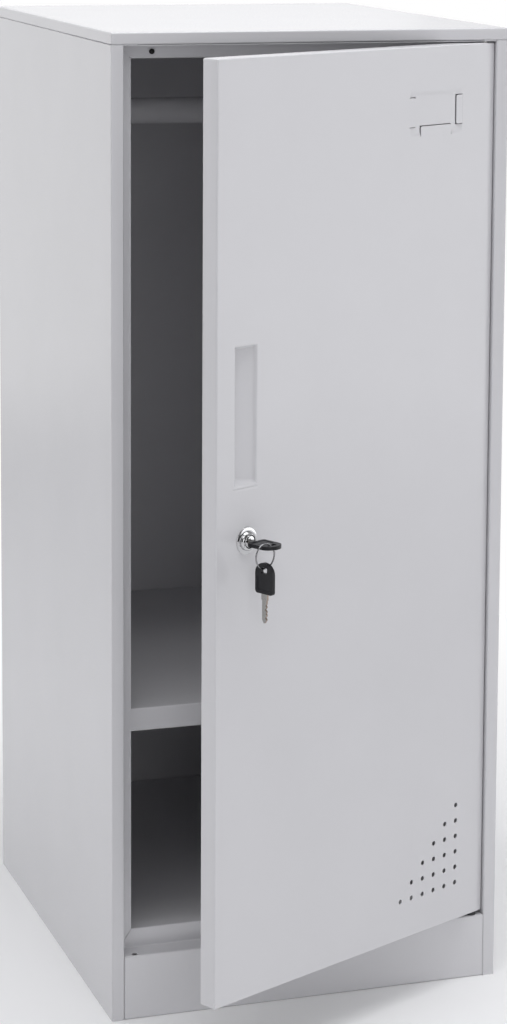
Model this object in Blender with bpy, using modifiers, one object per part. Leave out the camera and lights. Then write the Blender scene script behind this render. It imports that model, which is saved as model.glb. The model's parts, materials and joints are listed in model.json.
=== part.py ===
"""Single-door steel locker: folded sheet cabinet, pressed door on pivot pins, cam lock with its keys.

Metres, +Z up. The front faces -Y, and the door stands ajar, hinged at the right.
"""

import math

import bmesh
import bpy
from mathutils import Matrix, Vector

MM = 0.001

# Cabinet
WIDTH = 375 * MM
DEPTH = 445 * MM
HEIGHT = 900 * MM
SHEET = 0.8 * MM  # wall of every folded sheet
BEND = 1.5 * MM  # outside radius of a fold
BEND_STEPS = 2
FOLD_ANGLE = 25  # degrees between two faces, from which their edge is rounded
GAP = 0.3 * MM  # between pieces that touch
TURN_STEPS = 32  # facets round a turned piece
WELD = 0.01 * MM  # points closer than this are one
SQUARE_ON = 0.99  # cosine, from which a face looks straight to the front

# Front frame: a rebate takes the door, and a mitred stop runs round its back
LID_EDGE = 11 * MM
LID_LIP = 9 * MM
UPRIGHT_FACE = 12 * MM
REBATE_DEPTH = 22 * MM
STOP_FLANGE = 12 * MM
MITRE_GAP = 0.5 * MM
RAIL_FACE = 12.5 * MM
RAIL_RETURN = 14 * MM
SOFFIT_INSET = 1 * MM
KICK_HEIGHT = 60 * MM
KICK_RETURN = 15 * MM
RISER = 17.5 * MM
RISER_RETURN = 16 * MM
REAR_FLANGE = 15 * MM
BACK_FLANGE = 10 * MM
FLOOR_EDGE = 15 * MM
FLOOR_LIP = 8 * MM

# Shelf and hanging rail
SHELF_ABOVE_FLOOR = 206.5 * MM  # its top, from the riser's
SHELF_EDGE = 21.5 * MM
SHELF_LIP = 12 * MM
SHELF_SETBACK = 3 * MM  # behind the stop
SHELF_SIDE_PLAY = 0.5 * MM
RUNNER_LEG = 16 * MM
RUNNER_SETBACK = 12 * MM
RAIL_RADIUS = 12.5 * MM
RAIL_WALL = 1.2 * MM
RAIL_BELOW_TOP = 89 * MM  # its middle
RAIL_SETBACK = 220 * MM  # from the front
SOCKET_RADIUS = 19 * MM
SOCKET_PLATE = 2 * MM
SOCKET_CUP = 12 * MM
SOCKET_WALL = 2.2 * MM

# Rubber door buffer in the top rail
BUFFER_RADIUS = 2.5 * MM
BUFFER_HEIGHT = 2.6 * MM
BUFFER_STEM = 1.7 * MM
BUFFER_BARB = 2.4 * MM
BUFFER_TAIL = 4 * MM
BUFFER_FROM_SIDE = 43 * MM
BUFFER_ABOVE_EDGE = 6.2 * MM

# Door
AJAR = math.radians(26.7)
DOOR_SIDE_GAP = 1 * MM
DOOR_TOP_GAP = 1.2 * MM
DOOR_BOTTOM_GAP = 3.2 * MM
DOOR_THICK = 18.5 * MM
DOOR_LIP = 12 * MM
HINGE_INSET = 9.5 * MM  # pivot axis to the door's hinge edge
HINGE_SETBACK = 4.5 * MM  # pivot axis behind the door's face
STIFFENER_WIDTH = 40 * MM
STIFFENER_FLANGE = 10 * MM
STIFFENER_HEIGHT = 11 * MM
STIFFENER_END = 2 * MM

# Pivot hinges
PIN_RADIUS = 2.2 * MM
PIN_CHAMFER = 0.7 * MM
PIN_PLAY = 0.4 * MM
PIN_REACH = 5 * MM  # past the sheet it turns in
PIN_HEAD_RADIUS = 3.2 * MM
PIN_HEAD = 2.5 * MM
BRACKET_WALL = 2 * MM
BRACKET_BEND = 2.6 * MM
BRACKET_LEG = 30 * MM
BRACKET_WIDTH = 12 * MM
WASHER_RADIUS = 4 * MM

# Pressed finger pull: its floor slants up towards the hinge, and a crease runs under its foot
PULL_FROM_EDGE = 34.5 * MM  # its centre, from the door's free edge
PULL_WIDTH = 25 * MM
PULL_ABOVE_LOCK = 49 * MM  # its foot, from the lock's axis
PULL_HEIGHT = 119.5 * MM
PULL_DEPTH = 9 * MM  # at the free edge's side
PULL_SHALLOW = 3.2 * MM  # at the hinge's side
PULL_DRAFT = 0.2  # slope of its walls, for each step into the door
PULL_RAMP = 0.5  # slope of its foot
CREASE_HEIGHT = 3.4 * MM
CREASE_DEPTH = 0.6 * MM
CREASE_UPPER = 1.3 * MM  # its upper slope and its ends
CREASE_LOWER = 1.8 * MM
CREASE_OVERHANG = 3 * MM  # past the pull at each end

# Card pocket: a shallow panel, with three tongues left level with the door's face
CARD_FROM_HINGE = 78.5 * MM  # its centre, from the door's hinge edge
CARD_WIDTH = 69 * MM
CARD_BELOW_EDGE = 38.2 * MM  # its top, from the door's
CARD_HEIGHT = 41.5 * MM
CARD_DEPTH = 1.2 * MM
CARD_SLOPE = 2.8 * MM
CARD_TOP_SLOPE = 4.2 * MM
SLIT = 0.7 * MM  # round the free sides of a tongue
TONGUE_REACH = 7.3 * MM  # from the pocket's edge
TONGUE_LENGTH = 26 * MM
TONGUE_CORNER = 2 * MM
TONGUE_ROOT = 4 * MM  # buried in the sheet
TONGUE_SKIN = 0.1 * MM  # sheet over its buried root
TONGUE_ABOVE_FOOT = 8.3 * MM  # lower end of the side tongues, from the pocket's
FOOT_TONGUE_LENGTH = 40 * MM
FOOT_TONGUE_REACH = 8.5 * MM

# Vent holes: a right triangle of rows
VENT_ROWS = 6
VENT_PITCH = 15 * MM
VENT_RADIUS = 2.3 * MM
VENT_FROM_HINGE = 38.5 * MM
VENT_ABOVE_EDGE = 36.8 * MM  # lowest row, from the door's foot
VENT_SIDES = 14

# Cam lock, on an axis square to the door
LOCK_FROM_EDGE = 36 * MM
LOCK_BELOW_MIDDLE = 2 * MM  # its axis, from the middle of the door
ROSE_RADIUS = 12.1 * MM
ROSE_EDGE = 0.9 * MM
DOME_RADIUS = 8.6 * MM
DOME_HEIGHT = 4.2 * MM
DOME_STEPS = 5
BARREL_RADIUS = 9.2 * MM
PLUG_RADIUS = 6 * MM
PLUG_FACE = 4.6 * MM
PLUG_CHAMFER = 1.2 * MM
NUT_ACROSS = 24 * MM
NUT_THICK = 4 * MM
CAM_CLEAR = 1 * MM  # behind the stop
CAM_THICK = 2 * MM
CAM_REACH = 31 * MM
CAM_HUB = 8.5 * MM
CAM_TIP = 6 * MM
DRIVE_SQUARE = 6.4 * MM
CAM_SCREW_HEAD = 4.6 * MM
CAM_SCREW_HEAD_HEIGHT = 2.4 * MM
CAM_SCREW_CROWN = 3.2 * MM  # flat end of its head
CAM_SCREW_SLOT = 1.2 * MM
CAM_SCREW_RADIUS = 1.8 * MM
CAM_SCREW_LENGTH = 8 * MM

# Keys
BLADE_WIDTH = 5.2 * MM
BLADE_THICK = 1.8 * MM
BLADE_LENGTH = 20 * MM
BLADE_TIP = 3 * MM
BLADE_POINT = 1.2 * MM  # width of its flat end
BLADE_PLAY = 0.3 * MM
NOTCH_DEPTHS = (1.5 * MM, 0.9 * MM, 1.7 * MM, 1.2 * MM)
NOTCH_PITCH = 3.6 * MM
SHOULDER_WIDTH = 7 * MM
SHOULDER_LENGTH = 5.5 * MM
TANG_LENGTH = 9 * MM
BOW_WIDTH = 21 * MM
BOW_LENGTH = 27 * MM
BOW_THICK = 3.2 * MM
BOW_CORNER = 2.5 * MM
BOW_ARCH = 9.5 * MM
BOW_ROUND = 0.8 * MM
BOW_EDGE_ANGLE = 50  # degrees, its arch stays unrounded
BOW_HOLE_WIDTH = 7.4 * MM
BOW_HOLE_HEIGHT = 5 * MM
BOW_HOLE_CORNER = 1.2 * MM
BOW_HOLE_FROM_END = 6.6 * MM
BOW_PANEL_INSET = 3 * MM
BOW_PANEL_LENGTH = 12 * MM
BOW_PANEL_DEPTH = 0.35 * MM
RING_RADIUS = 10.8 * MM  # to the middle of the wire
RING_WIRE = 0.7 * MM
RING_SLACK = 0.7 * MM
RING_SAG = 0.9 * MM  # its plane, from the middle of the bow's hole towards the door
RING_STEPS = 36
RING_SIDES = 8

# Colours: (red, green, blue), roughness, metallic
PAINT = ((0.60, 0.60, 0.63), 0.42, 0.0)
STEEL = ((0.55, 0.55, 0.56), 0.32, 1.0)
CHROME = ((0.78, 0.78, 0.79), 0.12, 1.0)
BLACK_PLASTIC = ((0.012, 0.012, 0.014), 0.45, 0.0)
RUBBER = ((0.01, 0.01, 0.01), 0.8, 0.0)
NYLON = ((0.03, 0.03, 0.032), 0.6, 0.0)

# Places that follow from the sizes
HALF = WIDTH / 2
PANEL_TOP = HEIGHT - LID_EDGE - GAP
SOFFIT = PANEL_TOP - SHEET
RISER_TOP = KICK_HEIGHT + RISER
DOOR_WIDTH = WIDTH - 2 * (UPRIGHT_FACE + DOOR_SIDE_GAP)
DOOR_BOTTOM = KICK_HEIGHT + DOOR_BOTTOM_GAP
DOOR_TOP = SOFFIT - DOOR_TOP_GAP
SHELF_TOP = RISER_TOP + SHELF_ABOVE_FLOOR
LOCK_HEIGHT = (DOOR_BOTTOM + DOOR_TOP) / 2 - LOCK_BELOW_MIDDLE
PULL_BOTTOM = LOCK_HEIGHT + PULL_ABOVE_LOCK
CARD_TOP = DOOR_TOP - CARD_BELOW_EDGE
CARD_BOTTOM = CARD_TOP - CARD_HEIGHT
PIVOT_X = HALF - UPRIGHT_FACE - DOOR_SIDE_GAP - HINGE_INSET
LOCK_X = HINGE_INSET - DOOR_WIDTH + LOCK_FROM_EDGE  # from the pivot axis, door shut
CAM_FRONT = REBATE_DEPTH + SHEET + CAM_CLEAR  # behind the door's face
SHOULDER_FACE = PLUG_FACE + GAP
BOW_BASE = SHOULDER_FACE + SHOULDER_LENGTH
BOW_END = BOW_BASE + BOW_LENGTH
BOW_HOLE = BOW_END - BOW_HOLE_FROM_END
RING_PLANE = BOW_HOLE - RING_SAG
KEY_HANGS = Matrix(((0, 1, 0), (0, 0, 1), (1, 0, 0))).to_euler()  # length upright, width out from the door


def foremost():
    """How far the ajar door or the key in it stands in front of the cabinet."""
    edge = (HINGE_INSET - DOOR_WIDTH, -HINGE_SETBACK)
    key = (LOCK_X - BOW_WIDTH / 2 + BOW_ARCH / 2, -HINGE_SETBACK - BOW_END)
    return min(x * math.sin(AJAR) + y * math.cos(AJAR) for x, y in (edge, key)) + HINGE_SETBACK


FRONT = -(DEPTH + foremost()) / 2  # the origin is under the middle of the whole object
BACK = FRONT + DEPTH
STOP = FRONT + REBATE_DEPTH
BACK_PLANE = BACK - SHEET - GAP  # outer face of the back panel
INNER_HALF = HALF - SHEET - GAP  # inside the side panels
PIVOT_Y = FRONT + HINGE_SETBACK


def clear_scene():
    for obj in list(bpy.data.objects):
        bpy.data.objects.remove(obj, do_unlink=True)


def new_collection(name, shown):
    collection = bpy.data.collections.new(name)
    bpy.context.scene.collection.children.link(collection)
    collection.hide_render = not shown
    return collection


def principled(name, finish):
    colour, roughness, metallic = finish
    made = bpy.data.materials.new(name)
    made.use_nodes = True
    shader = made.node_tree.nodes["Principled BSDF"]
    shader.inputs["Base Color"].default_value = (*colour, 1)
    shader.inputs["Roughness"].default_value = roughness
    shader.inputs["Metallic"].default_value = metallic
    made.diffuse_color = (*colour, 1)
    return made


def add_object(name, mesh, finish, parent=None):
    """A named part, or a cutter where it has no finish."""
    obj = bpy.data.objects.new(name, mesh)
    if finish is None:
        CUTTERS.objects.link(obj)
        obj.hide_render = True
        obj.display_type = "WIRE"
    else:
        PARTS.objects.link(obj)
        mesh.materials.append(principled(name, finish))
    obj.parent = parent
    return obj


def from_bmesh(name, bm, finish, parent=None):
    mesh = bpy.data.meshes.new(name)
    bm.to_mesh(mesh)
    bm.free()
    return add_object(name, mesh, finish, parent)


def add_empty(name, location, parent=None, rotation=(0, 0, 0)):
    empty = bpy.data.objects.new(name, None)
    PARTS.objects.link(empty)
    empty.empty_display_size = 20 * MM
    empty.parent = parent
    empty.location = location
    empty.rotation_euler = rotation
    return empty


def add_bevel(obj, width, angle=FOLD_ANGLE):
    bevel = obj.modifiers.new("Bends", "BEVEL")
    bevel.width = width
    bevel.segments = BEND_STEPS
    bevel.limit_method = "ANGLE"
    bevel.angle_limit = math.radians(angle)


def add_wall(obj, thickness, side=-1):
    wall = obj.modifiers.new("Wall", "SOLIDIFY")
    wall.thickness = thickness
    wall.offset = side
    wall.use_even_offset = True
    wall.use_quality_normals = True


def add_boolean(obj, other, operation="DIFFERENCE"):
    boolean = obj.modifiers.new(f"{operation.title()} {other.name}", "BOOLEAN")
    boolean.operation = operation
    boolean.solver = "EXACT"
    boolean.object = other


def plan(x, y, z):
    """Outline in X and Y, taken along Z."""
    return Vector((x, y, z))


def section(y, z, x):
    """Outline in Y and Z, taken along X."""
    return Vector((x, y, z))


def elevation(x, z, y):
    """Outline in X and Z, taken along Y."""
    return Vector((x, y, z))


def fold_sheet(name, profile, span, place, finish, parent=None, trims=None, wall=SHEET, bend=BEND):
    """A sheet folded along a profile, its wall on the left of the profile's direction.

    trims shortens a fold line at its two ends, which mitres the faces beside it.
    """
    start, end = span
    bm = bmesh.new()
    line = [bm.verts.new(place(a, b, start)) for a, b in profile]
    edges = [bm.edges.new(pair) for pair in zip(line, line[1:])]
    swept = bmesh.ops.extrude_edge_only(bm, edges=edges)["geom"]
    far = [item for item in swept if isinstance(item, bmesh.types.BMVert)]
    along = place(0, 0, 1) - place(0, 0, 0)
    bmesh.ops.translate(bm, verts=far, vec=along * (end - start))
    for index, (at_start, at_end) in (trims or {}).items():
        near = line[index]
        opposite = next(e.other_vert(near) for e in near.link_edges if e.other_vert(near) in far)
        near.co += along * at_start
        opposite.co -= along * at_end
    bmesh.ops.recalc_face_normals(bm, faces=bm.faces)
    (a0, b0), (a1, b1) = profile[:2]
    left = place(b0 - b1, a1 - a0, 0) - place(0, 0, 0)
    if line[0].link_faces[0].normal.dot(left) > 0:
        bmesh.ops.reverse_faces(bm, faces=bm.faces)
    obj = from_bmesh(name, bm, finish, parent)
    if len(profile) > 2:
        add_bevel(obj, bend)
    add_wall(obj, wall)
    return obj


def face_towards(bm, direction):
    return max(bm.faces, key=lambda face: face.normal.dot(Vector(direction)))


def pan_mesh(low, high, open_side, lip):
    """A box of sheet, open at one side but for a lip turned in all round."""
    bm = bmesh.new()
    bmesh.ops.create_cube(bm, size=1)
    low, high = Vector(low), Vector(high)
    bmesh.ops.scale(bm, vec=high - low, verts=bm.verts)
    bmesh.ops.translate(bm, vec=(low + high) / 2, verts=bm.verts)
    bm.normal_update()
    mouth = face_towards(bm, open_side)
    bmesh.ops.inset_region(bm, faces=[mouth], thickness=lip, use_even_offset=True)
    bmesh.ops.delete(bm, geom=[mouth], context="FACES")
    return bm


def pan(name, low, high, open_side, lip, finish, parent=None):
    obj = from_bmesh(name, pan_mesh(low, high, open_side, lip), finish, parent)
    add_bevel(obj, BEND)
    add_wall(obj, SHEET)
    return obj


def box_cutter(name, low, high, parent=None):
    bm = bmesh.new()
    bmesh.ops.create_cube(bm, size=1)
    low, high = Vector(low), Vector(high)
    bmesh.ops.scale(bm, vec=high - low, verts=bm.verts)
    bmesh.ops.translate(bm, vec=(low + high) / 2, verts=bm.verts)
    return from_bmesh(name, bm, None, parent)


def peg_cutter(name, radius, ends, parent=None, sides=TURN_STEPS):
    """Straight round pegs in one cutter, each from one end point to the other."""
    bm = bmesh.new()
    for start, end in ends:
        start, end = Vector(start), Vector(end)
        turn = (end - start).to_track_quat("Z", "Y").to_matrix().to_4x4()
        bmesh.ops.create_cone(
            bm,
            cap_ends=True,
            segments=sides,
            radius1=radius,
            radius2=radius,
            depth=(end - start).length,
            matrix=Matrix.Translation((start + end) / 2) @ turn,
        )
    return from_bmesh(name, bm, None, parent)


def turned(name, profile, finish, parent=None, location=(0, 0, 0), rotation=(0, 0, 0), ring=False):
    """A (radius, height) profile turned about Z, running down its outer side; a ring closes on itself."""
    bm = bmesh.new()
    line = [bm.verts.new((radius, 0, height)) for radius, height in profile]
    pairs = list(zip(line, line[1:]))
    if ring:
        pairs.append((line[-1], line[0]))
    for pair in pairs:
        bm.edges.new(pair)
    obj = from_bmesh(name, bm, finish, parent)
    obj.location = location
    obj.rotation_euler = rotation
    screw = obj.modifiers.new("Turn", "SCREW")
    screw.steps = TURN_STEPS
    screw.render_steps = TURN_STEPS
    screw.use_merge_vertices = True
    screw.merge_threshold = WELD
    screw.use_smooth_shade = True
    return obj


def arc(centre, radii, start, end, steps):
    """Points on an ellipse's arc, angles in degrees."""
    angles = [math.radians(start + (end - start) * i / steps) for i in range(steps + 1)]
    return [(centre[0] + radii[0] * math.cos(a), centre[1] + radii[1] * math.sin(a)) for a in angles]


def rounded_rectangle(centre, width, height, radius, steps=4):
    points = []
    for turn, (sx, sy) in zip((0, 90, 180, 270), ((1, 1), (-1, 1), (-1, -1), (1, -1))):
        corner = (centre[0] + sx * (width / 2 - radius), centre[1] + sy * (height / 2 - radius))
        points += arc(corner, (radius, radius), turn, turn + 90, steps)
    return points


def flat_solid(name, loops, low, high, place, finish, parent=None):
    """Closed outlines filled between each other and given a thickness along the third axis."""
    curve = bpy.data.curves.new(name, "CURVE")
    curve.dimensions = "2D"
    curve.fill_mode = "BOTH"
    curve.extrude = (high - low) / 2
    for loop in loops:
        spline = curve.splines.new("POLY")
        spline.points.add(len(loop) - 1)
        for point, (a, b) in zip(spline.points, loop):
            point.co = (a, b, 0, 1)
        spline.use_cyclic_u = True
    drawn = bpy.data.objects.new(name + "_outline", curve)
    CUTTERS.objects.link(drawn)
    evaluated = drawn.evaluated_get(bpy.context.evaluated_depsgraph_get())
    bm = bmesh.new()
    mesh = bpy.data.meshes.new_from_object(evaluated)
    bm.from_mesh(mesh)
    bpy.data.objects.remove(drawn, do_unlink=True)
    bpy.data.meshes.remove(mesh)
    bmesh.ops.remove_doubles(bm, verts=bm.verts, dist=WELD)
    middle = (low + high) / 2
    for vert in bm.verts:
        vert.co = place(vert.co.x, vert.co.y, vert.co.z + middle)
    bmesh.ops.recalc_face_normals(bm, faces=bm.faces)
    return from_bmesh(name, bm, finish, parent)


def side_panel(name, side):
    """A side with its upright: face, rebate and mitred stop flange at the front, flange at the rear."""
    profile = [
        (-HALF + REAR_FLANGE, BACK),
        (-HALF, BACK),
        (-HALF, FRONT),
        (-HALF + UPRIGHT_FACE, FRONT),
        (-HALF + UPRIGHT_FACE, STOP),
        (-HALF + UPRIGHT_FACE + STOP_FLANGE, STOP),
    ]
    trims = {4: (KICK_HEIGHT, SHEET), 5: (RISER_TOP, SHEET + RAIL_FACE)}
    if side > 0:
        profile = [(-x, y) for x, y in reversed(profile)]
        trims = {len(profile) - 1 - index: trim for index, trim in trims.items()}
    fold_sheet(name, profile, (0, PANEL_TOP), plan, PAINT, trims=trims)


def back_panel():
    edge = BACK_PLANE - BACK_FLANGE
    profile = [(INNER_HALF, edge), (INNER_HALF, BACK_PLANE), (-INNER_HALF, BACK_PLANE), (-INNER_HALF, edge)]
    fold_sheet("back_panel", profile, (0, PANEL_TOP), plan, PAINT)


def pivot_holes(name, low, high):
    """Both sides are pierced, so that the door can be hung on either."""
    ends = [((x, PIVOT_Y, low), (x, PIVOT_Y, high)) for x in (-PIVOT_X, PIVOT_X)]
    return peg_cutter(name, PIN_RADIUS + PIN_PLAY, ends)


def top_panel_and_rail():
    holes = pivot_holes("top_pivot_holes", SOFFIT - SHEET, HEIGHT - LID_EDGE + 3 * SHEET)
    lid = pan(
        "top_panel",
        (-HALF, FRONT, HEIGHT - LID_EDGE),
        (HALF, BACK, HEIGHT),
        (0, 0, -1),
        LID_LIP,
        PAINT,
    )
    add_boolean(lid, holes)
    reach = HALF - UPRIGHT_FACE - MITRE_GAP
    profile = [
        (FRONT + SOFFIT_INSET, SOFFIT),
        (STOP, SOFFIT),
        (STOP, SOFFIT - RAIL_FACE),
        (STOP + RAIL_RETURN, SOFFIT - RAIL_FACE),
    ]
    trims = {2: (STOP_FLANGE, STOP_FLANGE), 3: (STOP_FLANGE, STOP_FLANGE)}
    rail = fold_sheet("top_rail", profile, (-reach, reach), section, PAINT, trims=trims)
    add_boolean(rail, holes)
    buffer_place = (-HALF + BUFFER_FROM_SIDE, STOP, SOFFIT - RAIL_FACE + BUFFER_ABOVE_EDGE)
    door_buffer(buffer_place)
    x, y, z = buffer_place
    seat = [((x, y - SHEET, z), (x, y + 2 * SHEET, z))]
    add_boolean(rail, peg_cutter("buffer_hole", BUFFER_STEM + GAP, seat))


def door_buffer(place):
    """Rubber stop: a domed head before the rail and a barbed tail through it."""
    crown = arc((0, BUFFER_HEIGHT / 2), (BUFFER_RADIUS, BUFFER_HEIGHT / 2), 90, 0, 4)
    behind = -SHEET - GAP
    profile = crown + [
        (BUFFER_RADIUS, GAP),
        (BUFFER_STEM, GAP),
        (BUFFER_STEM, behind),
        (BUFFER_BARB, behind),
        (BUFFER_STEM, -BUFFER_TAIL),
        (0, -BUFFER_TAIL),
    ]
    turned("door_buffer", profile, RUBBER, location=place, rotation=(math.pi / 2, 0, 0))


def base_rail():
    """Kick plate, ledge under the door and riser behind it, in one folded sheet."""
    reach = HALF - UPRIGHT_FACE - MITRE_GAP
    profile = [
        (STOP + RISER_RETURN, RISER_TOP),
        (STOP, RISER_TOP),
        (STOP, KICK_HEIGHT),
        (FRONT, KICK_HEIGHT),
        (FRONT, 0),
        (FRONT + KICK_RETURN, 0),
    ]
    trims = {0: (STOP_FLANGE, STOP_FLANGE), 1: (STOP_FLANGE, STOP_FLANGE)}
    rail = fold_sheet("base_rail", profile, (-reach, reach), section, PAINT, trims=trims)
    add_boolean(rail, pivot_holes("base_pivot_holes", KICK_HEIGHT - 3 * SHEET, KICK_HEIGHT + SHEET))


def floor_panel():
    half = INNER_HALF - SHEET - GAP
    top = RISER_TOP - SHEET - GAP
    low = (-half, STOP + SHEET + GAP, top - FLOOR_EDGE)
    pan("floor_panel", low, (half, BACK_PLANE - SHEET - GAP, top), (0, 0, -1), FLOOR_LIP, PAINT)


def shelf_and_runners():
    half = INNER_HALF - SHEET - GAP - SHELF_SIDE_PLAY
    front = STOP + SHEET + SHELF_SETBACK
    low = (-half, front, SHELF_TOP - SHELF_EDGE)
    pan("shelf", low, (half, BACK_PLANE - SHEET - GAP, SHELF_TOP), (0, 0, -1), SHELF_LIP, PAINT)
    seat = SHELF_TOP - SHELF_EDGE - GAP
    profile = [(-INNER_HALF + RUNNER_LEG, seat), (-INNER_HALF, seat), (-INNER_HALF, seat - RUNNER_LEG)]
    mirrored = [(-x, z) for x, z in reversed(profile)]
    span = (STOP + RUNNER_SETBACK, BACK_PLANE - BACK_FLANGE - GAP)
    fold_sheet("shelf_runner_left", profile, span, elevation, PAINT)
    fold_sheet("shelf_runner_right", mirrored, span, elevation, PAINT)


def hanging_rail():
    """A painted tube across the upper compartment, held in a cup at each side."""
    half = INNER_HALF - SOCKET_PLATE - GAP
    place = (0, FRONT + RAIL_SETBACK, HEIGHT - RAIL_BELOW_TOP)
    inner = RAIL_RADIUS - RAIL_WALL
    tube = [(RAIL_RADIUS, half), (RAIL_RADIUS, -half), (inner, -half), (inner, half)]
    across = (0, math.pi / 2, 0)
    turned("hanging_rail", tube, PAINT, location=place, rotation=across, ring=True)
    bore = RAIL_RADIUS + GAP
    cup = [
        (bore, SOCKET_CUP),
        (bore + SOCKET_WALL, SOCKET_CUP),
        (bore + SOCKET_WALL, SOCKET_PLATE),
        (SOCKET_RADIUS, SOCKET_PLATE),
        (SOCKET_RADIUS, 0),
        (0, 0),
        (0, SOCKET_PLATE),
        (bore, SOCKET_PLATE),
    ]
    for name, side in (("rail_socket_left", -1), ("rail_socket_right", 1)):
        seat = (side * INNER_HALF, place[1], place[2])
        facing = (0, -side * math.pi / 2, 0)
        turned(name, cup, STEEL, location=seat, rotation=facing, ring=True)


def door_mesh():
    """The door's outer surface: a pan open at the back, with the pull and the card pocket pressed in."""
    right = HINGE_INSET
    left = HINGE_INSET - DOOR_WIDTH
    face = -HINGE_SETBACK
    bm = pan_mesh((left, face, DOOR_BOTTOM), (right, face + DOOR_THICK, DOOR_TOP), (0, 1, 0), DOOR_LIP)
    round_edges(bm, [edge for edge in bm.edges if edge.calc_face_angle(0) > math.radians(FOLD_ANGLE)])
    press_pull(bm, left + PULL_FROM_EDGE)
    card_x = right - CARD_FROM_HINGE
    card = press_face(bm, card_x, CARD_WIDTH, CARD_BOTTOM, CARD_TOP, CARD_SLOPE, CARD_DEPTH)
    for vert in card.verts:
        vert.co.z = min(vert.co.z, CARD_TOP - CARD_TOP_SLOPE)
    return bm


def press_face(bm, middle, width, bottom, top, slope, depth):
    """Presses a rectangle of the door's front face inwards and returns its floor."""
    cuts = [((middle + side * width / 2, 0, 0), (1, 0, 0)) for side in (-1, 1)]
    cuts += [((0, 0, height), (0, 0, 1)) for height in (bottom, top)]
    for point, normal in cuts:
        bm.normal_update()
        front = [face for face in bm.faces if face.normal.y < -SQUARE_ON]
        geom = front + list({edge for face in front for edge in face.edges})
        geom += list({vert for face in front for vert in face.verts})
        bmesh.ops.bisect_plane(bm, geom=geom, plane_co=point, plane_no=normal)
    bm.normal_update()
    centre = Vector((middle, -HINGE_SETBACK, (bottom + top) / 2))
    front = [face for face in bm.faces if face.normal.y < -SQUARE_ON]
    floor = min(front, key=lambda face: (face.calc_center_median() - centre).length)
    bmesh.ops.inset_region(bm, faces=[floor], thickness=slope, depth=-depth, use_even_offset=True)
    return floor


def round_edges(bm, edges):
    bmesh.ops.bevel(
        bm,
        geom=edges,
        offset=BEND,
        offset_type="OFFSET",
        segments=BEND_STEPS,
        profile=0.5,
        affect="EDGES",
        clamp_overlap=True,
    )


def press_pull(bm, middle):
    """Finger pull with a slanting floor and a ramped foot, and the crease under it."""
    crease_top = PULL_BOTTOM - BEND - GAP
    crease_foot = crease_top - CREASE_HEIGHT
    width = PULL_WIDTH + 2 * CREASE_OVERHANG
    crease = press_face(bm, middle, width, crease_foot, crease_top, CREASE_UPPER, CREASE_DEPTH)
    for vert in crease.verts:
        vert.co.z = max(vert.co.z, crease_foot + CREASE_LOWER)
    top = PULL_BOTTOM + PULL_HEIGHT
    floor = press_face(bm, middle, PULL_WIDTH, PULL_BOTTOM, top, PULL_DRAFT * PULL_DEPTH, PULL_DEPTH)
    for vert in floor.verts:
        side = 1 if vert.co.x > middle else -1
        depth = PULL_SHALLOW if side > 0 else PULL_DEPTH
        low = vert.co.z < (PULL_BOTTOM + top) / 2
        vert.co.x = middle + side * (PULL_WIDTH / 2 - PULL_DRAFT * depth)
        vert.co.y = depth - HINGE_SETBACK
        vert.co.z = PULL_BOTTOM + PULL_RAMP * depth if low else top - PULL_DRAFT * depth
    walls = {face for vert in floor.verts for face in vert.link_faces}
    round_edges(bm, list({edge for face in walls for edge in face.edges}))


def lance(door, hinge, name, low, high, root):
    """Opens the pocket's rim between two corners, and leaves a tongue there, level with the door's face.

    root is the direction in which the tongue runs on into the sheet.
    """
    face = -HINGE_SETBACK
    behind = face + CARD_DEPTH + 2 * SHEET
    opening = box_cutter(name + "_opening", elevation(*low, face - SHEET), elevation(*high, behind), hinge)
    add_boolean(door, opening)
    low = [at - TONGUE_ROOT if step < 0 else at + SLIT for at, step in zip(low, root)]
    high = [at + TONGUE_ROOT if step > 0 else at - SLIT for at, step in zip(high, root)]
    middle = [(one + other) / 2 for one, other in zip(low, high)]
    outline = rounded_rectangle(middle, high[0] - low[0], high[1] - low[1], TONGUE_CORNER)
    inside = (face + TONGUE_SKIN, face + SHEET - TONGUE_SKIN)
    add_boolean(door, flat_solid(name, [outline], *inside, elevation, None, hinge), "UNION")


def card_tongues(door, hinge):
    """Three tongues that hold a card: one at each side of the pocket and one at its foot."""
    middle = HINGE_INSET - CARD_FROM_HINGE
    base = CARD_BOTTOM + TONGUE_ABOVE_FOOT
    outer = CARD_WIDTH / 2 + SLIT
    inner = CARD_WIDTH / 2 - TONGUE_REACH - SLIT
    for name, side in (("card_tongue_left", -1), ("card_tongue_right", 1)):
        left, right = sorted((middle + side * inner, middle + side * outer))
        lance(door, hinge, name, (left, base - SLIT), (right, base + TONGUE_LENGTH + SLIT), (side, 0))
    half = FOOT_TONGUE_LENGTH / 2 + SLIT
    low = (middle - half, CARD_BOTTOM - SLIT)
    high = (middle + half, CARD_BOTTOM + FOOT_TONGUE_REACH + SLIT)
    lance(door, hinge, "card_tongue_foot", low, high, (0, -1))


def vent_cutter(hinge):
    """Holes in a right triangle: one more in each column towards the hinge."""
    ends = []
    for column in range(VENT_ROWS):
        x = HINGE_INSET - VENT_FROM_HINGE - column * VENT_PITCH
        for row in range(VENT_ROWS - column):
            z = DOOR_BOTTOM + VENT_ABOVE_EDGE + row * VENT_PITCH
            ends.append(((x, -HINGE_SETBACK - SHEET, z), (x, -HINGE_SETBACK + 2 * SHEET, z)))
    return peg_cutter("vent_holes", VENT_RADIUS, ends, hinge, VENT_SIDES)


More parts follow.
